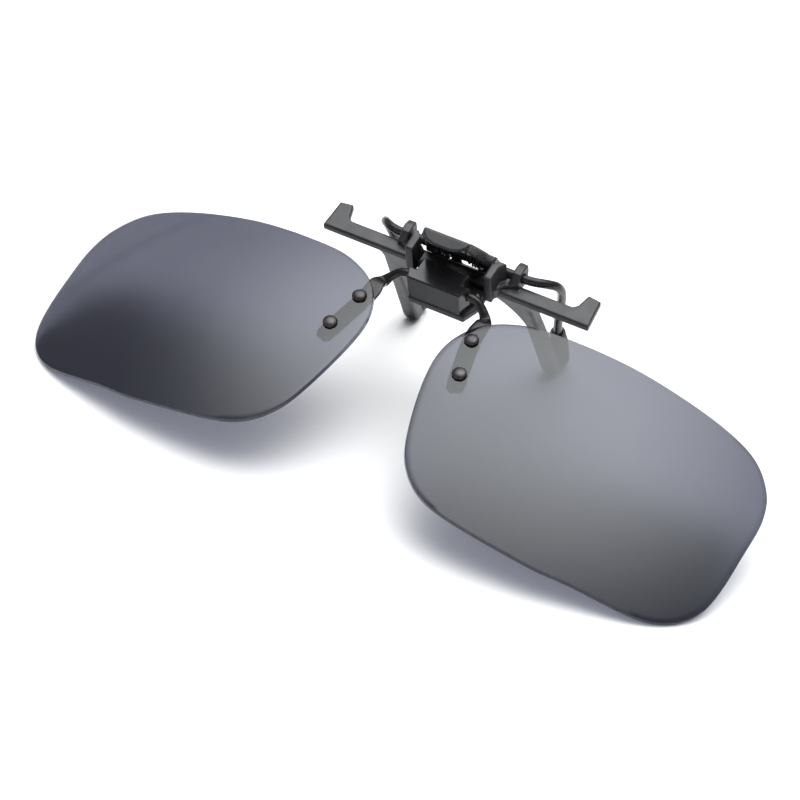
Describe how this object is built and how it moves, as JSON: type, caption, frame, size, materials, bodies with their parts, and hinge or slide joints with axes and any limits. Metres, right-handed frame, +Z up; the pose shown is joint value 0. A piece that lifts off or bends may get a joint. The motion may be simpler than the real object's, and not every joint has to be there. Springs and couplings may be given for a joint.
{
  "type": "clip-on flip-up lens pair",
  "caption": "Spring clip that grips spectacles above the bridge, carrying two rimless tinted lenses on a wire that flips up.",
  "frame": {"origin": "middle of the footprint, on the surface the object lies on", "axes": "+X across the lenses, +Y from the lenses towards the clip, +Z up; lying on its claw tips and lens corners with the lenses flipped up"},
  "size_m": [0.1306, 0.0672, 0.0355],
  "materials": {
    "bracket_plastic": "fine matte moulded texture",
    "cap_plastic": "satin gloss moulding",
    "lever_plastic": "satin gloss moulding",
    "washer_plastic": "moulded",
    "tip_rubber": "soft dipped rubber",
    "wire_metal": "black gloss coating",
    "arm_metal": "gunmetal",
    "rivet_metal": "dark polished heads",
    "spring_steel": "drawn wire",
    "lens_tint": "grey polarised tint"
  },
  "bodies": {
    "clip": {"front_bracket": "bracket_plastic", "hinge_cap": "cap_plastic", "click_leaf": "spring_steel", "coil_spring_right": "spring_steel", "coil_spring_left": "spring_steel"},
    "lens_pair": {"detent_cam": "spring_steel", "lens_wire": "arm_metal", "lens_right": "lens_tint", "lens_left": "lens_tint", "rivet_inner_right": "rivet_metal", "rivet_inner_left": "rivet_metal", "rivet_washer_inner_right": "washer_plastic", "rivet_washer_inner_left": "washer_plastic", "rivet_outer_right": "rivet_metal", "rivet_outer_left": "rivet_metal", "rivet_washer_outer_right": "washer_plastic", "rivet_washer_outer_left": "washer_plastic"},
    "clamp": {"thumb_lever": "lever_plastic", "clamp_wire": "wire_metal", "rubber_tip_right": "tip_rubber", "rubber_tip_left": "tip_rubber"}
  },
  "joints": [
    {"name": "flip", "type": "hinge", "parent": "clip", "child": "lens_pair", "pos_m": [0, 0.00324, 0.02547], "axis": [1, 0, 0], "range_deg": [0, 90]},
    {"name": "clamp", "type": "hinge", "parent": "clip", "child": "clamp", "pos_m": [0, 0.01158, 0.02749], "axis": [1, 0, 0], "range_deg": [0, 22], "stiffness_Nm_per_rad": 0.05, "springref_deg": -20.05, "deforming": ["coil_spring_right", "coil_spring_left"]}
  ]
}
